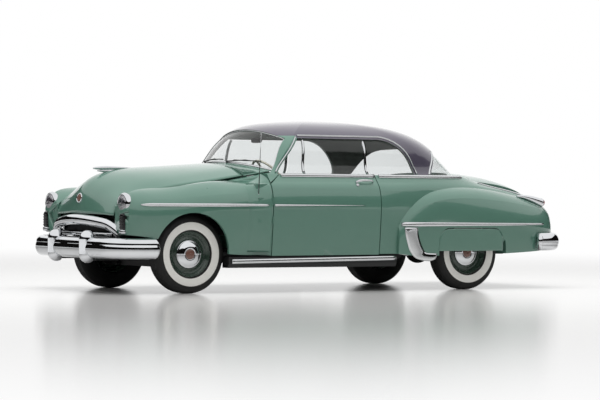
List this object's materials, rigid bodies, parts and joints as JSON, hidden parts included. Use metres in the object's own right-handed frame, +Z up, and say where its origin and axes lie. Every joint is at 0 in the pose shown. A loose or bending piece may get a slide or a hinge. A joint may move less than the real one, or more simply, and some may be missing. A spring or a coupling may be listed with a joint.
{
  "type": "two-door hardtop coupe",
  "caption": "Mid-century hardtop coupe with pontoon rear fenders, skirts, whitewall tyres, turning wheels, steering, opening doors, hood and trunk lid.",
  "frame": {"origin": "on the ground under the middle of the car's length and width", "axes": "+X to the rear, +Y to the car's right, +Z up"},
  "size_m": [5.131, 1.9136, 1.5855],
  "materials": {
    "body_paint": "gloss green paint",
    "roof_paint": "gloss dark paint",
    "chrome": "polished chrome",
    "glass": "clear glass",
    "wheel_paint": "gloss dark green paint",
    "tyre": "black rubber with a white sidewall band",
    "frame_paint": "satin black paint",
    "iron": "painted cast iron",
    "steel": "dull steel",
    "seat_cloth": "woven seat cloth",
    "dash_paint": "gloss paint",
    "plastic": "moulded plastic"
  },
  "bodies": {
    "body": {"cowl": "body_paint", "cross_members": "frame_paint", "dashboard": "dash_paint", "engine": "iron", "exhaust": "steel", "fender_skirt_left": "body_paint", "fender_skirt_right": "body_paint", "floor_pan": "frame_paint", "frame_rails": "frame_paint", "front_bumper": "chrome", "front_fender_left": "body_paint", "front_fender_right": "body_paint", "front_seat": "seat_cloth", "front_suspension": "frame_paint", "fuel_tank": "frame_paint", "grille": "chrome", "headlamps": "chrome", "inner_fenders": "frame_paint", "quarter_glass": "glass", "quarter_panel_left": "body_paint", "quarter_panel_right": "body_paint", "rear_axle": "iron", "rear_bumper": "chrome", "rear_deck": "body_paint", "rear_fender_left": "body_paint", "rear_fender_right": "body_paint", "rear_seat": "seat_cloth", "rear_window": "glass", "roof": "roof_paint", "sills": "body_paint", "tail_lamps": "chrome", "tail_panel": "body_paint", "windscreen": "glass", "windscreen_pillars": "body_paint"},
    "hood": {"hood": "body_paint"},
    "trunk_lid": {"trunk_lid": "body_paint"},
    "door_left": {"door_left": "body_paint", "door_glass_left": "glass"},
    "door_right": {"door_right": "body_paint", "door_glass_right": "glass"},
    "steering_wheel": {"steering_wheel": "plastic"},
    "knuckle_left": {"knuckle_left": "iron"},
    "knuckle_right": {"knuckle_right": "iron"},
    "wheel_front_left": {"wheel_front_left": "wheel_paint", "tyre_front_left": "tyre"},
    "wheel_front_right": {"wheel_front_right": "wheel_paint", "tyre_front_right": "tyre"},
    "wheel_rear_left": {"wheel_rear_left": "wheel_paint", "tyre_rear_left": "tyre"},
    "wheel_rear_right": {"wheel_rear_right": "wheel_paint", "tyre_rear_right": "tyre"}
  },
  "joints": [
    {"name": "hood_hinge", "type": "hinge", "parent": "body", "child": "hood", "pos_m": [-1.0795, 0, 1.167], "axis": [0, 1, 0], "range_deg": [0, 55]},
    {"name": "trunk_hinge", "type": "hinge", "parent": "body", "child": "trunk_lid", "pos_m": [1.6228, 0, 1.1015], "axis": [0, -1, 0], "range_deg": [0, 60]},
    {"name": "door_left_hinge", "type": "hinge", "parent": "body", "child": "door_left", "pos_m": [-0.915, -0.913, 0], "axis": [0, 0, -1], "range_deg": [0, 65]},
    {"name": "door_right_hinge", "type": "hinge", "parent": "body", "child": "door_right", "pos_m": [-0.915, 0.913, 0], "axis": [0, 0, 1], "range_deg": [0, 65]},
    {"name": "steering", "type": "hinge", "parent": "body", "child": "steering_wheel", "pos_m": [-0.6205, -0.37, 1.045], "axis": [0.7478, 0, 0.6639], "range_deg": [-750, 750]},
    {"name": "knuckle_left_turn", "type": "hinge", "parent": "body", "child": "knuckle_left", "pos_m": [-1.7155, -0.632, 0.352], "axis": [0, 0, 1], "range_deg": [-30, 30]},
    {"name": "knuckle_right_turn", "type": "hinge", "parent": "body", "child": "knuckle_right", "pos_m": [-1.7155, 0.632, 0.352], "axis": [0, 0, 1], "range_deg": [-30, 30]},
    {"name": "wheel_front_left_spin", "type": "hinge", "parent": "knuckle_left", "child": "wheel_front_left", "pos_m": [-1.7155, -0.724, 0.352], "axis": [0, -1, 0], "continuous": true},
    {"name": "wheel_front_right_spin", "type": "hinge", "parent": "knuckle_right", "child": "wheel_front_right", "pos_m": [-1.7155, 0.724, 0.352], "axis": [0, -1, 0], "continuous": true},
    {"name": "wheel_rear_left_spin", "type": "hinge", "parent": "body", "child": "wheel_rear_left", "pos_m": [1.3195, -0.7495, 0.352], "axis": [0, -1, 0], "continuous": true},
    {"name": "wheel_rear_right_spin", "type": "hinge", "parent": "body", "child": "wheel_rear_right", "pos_m": [1.3195, 0.7495, 0.352], "axis": [0, -1, 0], "continuous": true}
  ],
  "couplings": [
    {"joint": "knuckle_left_turn", "follows": "steering", "ratio": 0.04},
    {"joint": "knuckle_right_turn", "follows": "steering", "ratio": 0.04}
  ]
}
